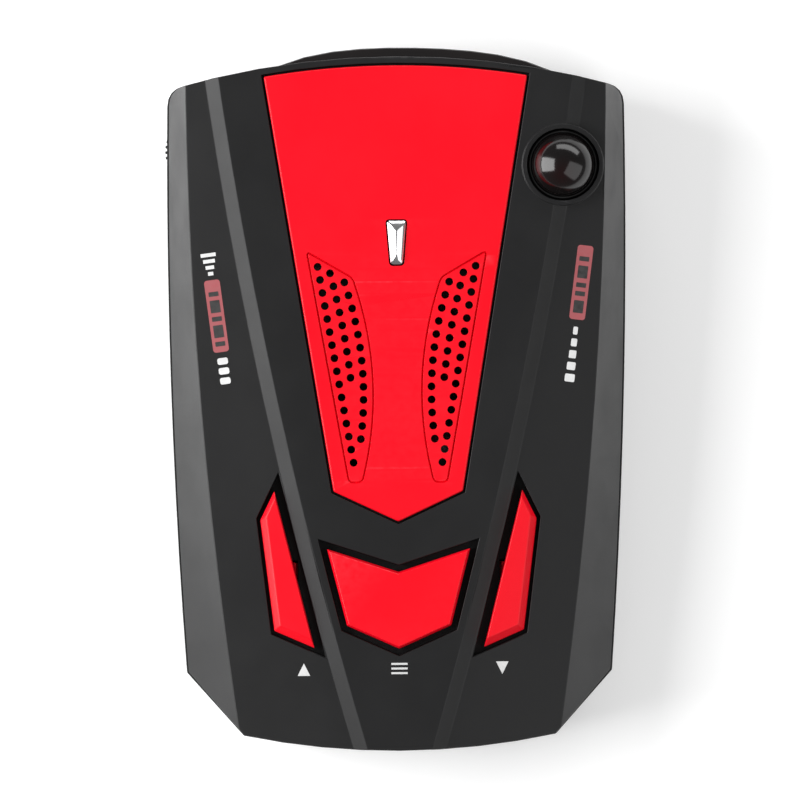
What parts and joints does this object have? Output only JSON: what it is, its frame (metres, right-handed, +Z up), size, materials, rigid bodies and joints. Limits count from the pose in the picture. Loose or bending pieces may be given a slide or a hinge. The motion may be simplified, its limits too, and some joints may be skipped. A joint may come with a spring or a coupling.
{
  "type": "radar detector",
  "caption": "Wedge-shaped dashboard radar and laser detector with a red perforated speaker panel, red angular keys, a glossy all-round sensor dome, smoked windows and a thumbwheel.",
  "frame": {"origin": "on the surface the detector stands on, under the middle of its outline", "axes": "+Z up, +Y towards the windscreen (front window), +X to the driver's right"},
  "size_m": [0.0702, 0.107, 0.032],
  "materials": {
    "case_black": "satin black moulded plastic",
    "accent_red": "satin metallic red lacquer on plastic",
    "chrome": "polished",
    "smoked_window": "glossy, smoked, infra-red passing",
    "component_black": "satin",
    "circuit_board": "green lacquered laminate",
    "steel": "plated",
    "cast_metal": "die-cast",
    "clear_plastic": "clear",
    "display_face": "dark red",
    "speaker_paper": "pressed paper",
    "ferrite": "bare ferrite",
    "wire_red": "satin insulation",
    "wire_black": "satin insulation",
    "plug_white": "natural nylon",
    "wheel_black": "satin, ribbed edge",
    "foot_rubber": "matt",
    "label_silver": "blank silver foil"
  },
  "bodies": {
    "case": {"top_cover": "case_black", "bottom_cover": "case_black", "accent_panel": "accent_red", "chrome_stud": "chrome", "front_window": "smoked_window", "display_window": "smoked_window", "dome_lens": "smoked_window", "up_switch": "component_black", "menu_switch": "component_black", "down_switch": "component_black", "main_board": "circuit_board", "processor_chip": "component_black", "amplifier_chip": "component_black", "crystal": "steel", "filter_capacitor_1": "component_black", "filter_capacitor_2": "component_black", "voltage_regulator": "component_black", "display_module": "display_face", "display_board": "circuit_board", "display_header": "component_black", "horn_antenna": "cast_metal", "mixer_board": "circuit_board", "mixer_shield": "steel", "lens_holder": "component_black", "collector_lens": "clear_plastic", "front_photodiode": "component_black", "dome_photodiode": "component_black", "dome_light_guide": "clear_plastic", "speaker_frame": "steel", "speaker_cone": "speaker_paper", "speaker_magnet": "ferrite", "speaker_lead_1": "wire_red", "speaker_lead_2": "wire_black", "speaker_plug": "plug_white", "volume_control": "component_black", "power_socket": "component_black", "case_screw_1": "steel", "case_screw_2": "steel", "case_screw_3": "steel", "case_screw_4": "steel", "board_screw_1": "steel", "board_screw_2": "steel", "board_screw_3": "steel", "foot_1": "foot_rubber", "foot_2": "foot_rubber", "foot_3": "foot_rubber", "foot_4": "foot_rubber", "rating_label": "label_silver"},
    "up_key": {"up_button": "accent_red", "up_plunger": "component_black"},
    "menu_key": {"menu_button": "accent_red", "menu_plunger": "component_black"},
    "down_key": {"down_button": "accent_red", "down_plunger": "component_black"},
    "wheel": {"volume_wheel": "wheel_black", "volume_spindle": "steel"}
  },
  "joints": [
    {"name": "up_press", "type": "slide", "parent": "case", "child": "up_key", "axis": [0, 0, -1], "range_m": [0, 0.0005], "stiffness_N_per_m": 2000},
    {"name": "menu_press", "type": "slide", "parent": "case", "child": "menu_key", "axis": [0, 0, -1], "range_m": [0, 0.0005], "stiffness_N_per_m": 2000},
    {"name": "down_press", "type": "slide", "parent": "case", "child": "down_key", "axis": [0, 0, -1], "range_m": [0, 0.0005], "stiffness_N_per_m": 2000},
    {"name": "volume_turn", "type": "hinge", "parent": "case", "child": "wheel", "pos_m": [-0.0292, 0.0381, 0.0047], "axis": [0, 0, 1], "range_deg": [0, 280]}
  ]
}
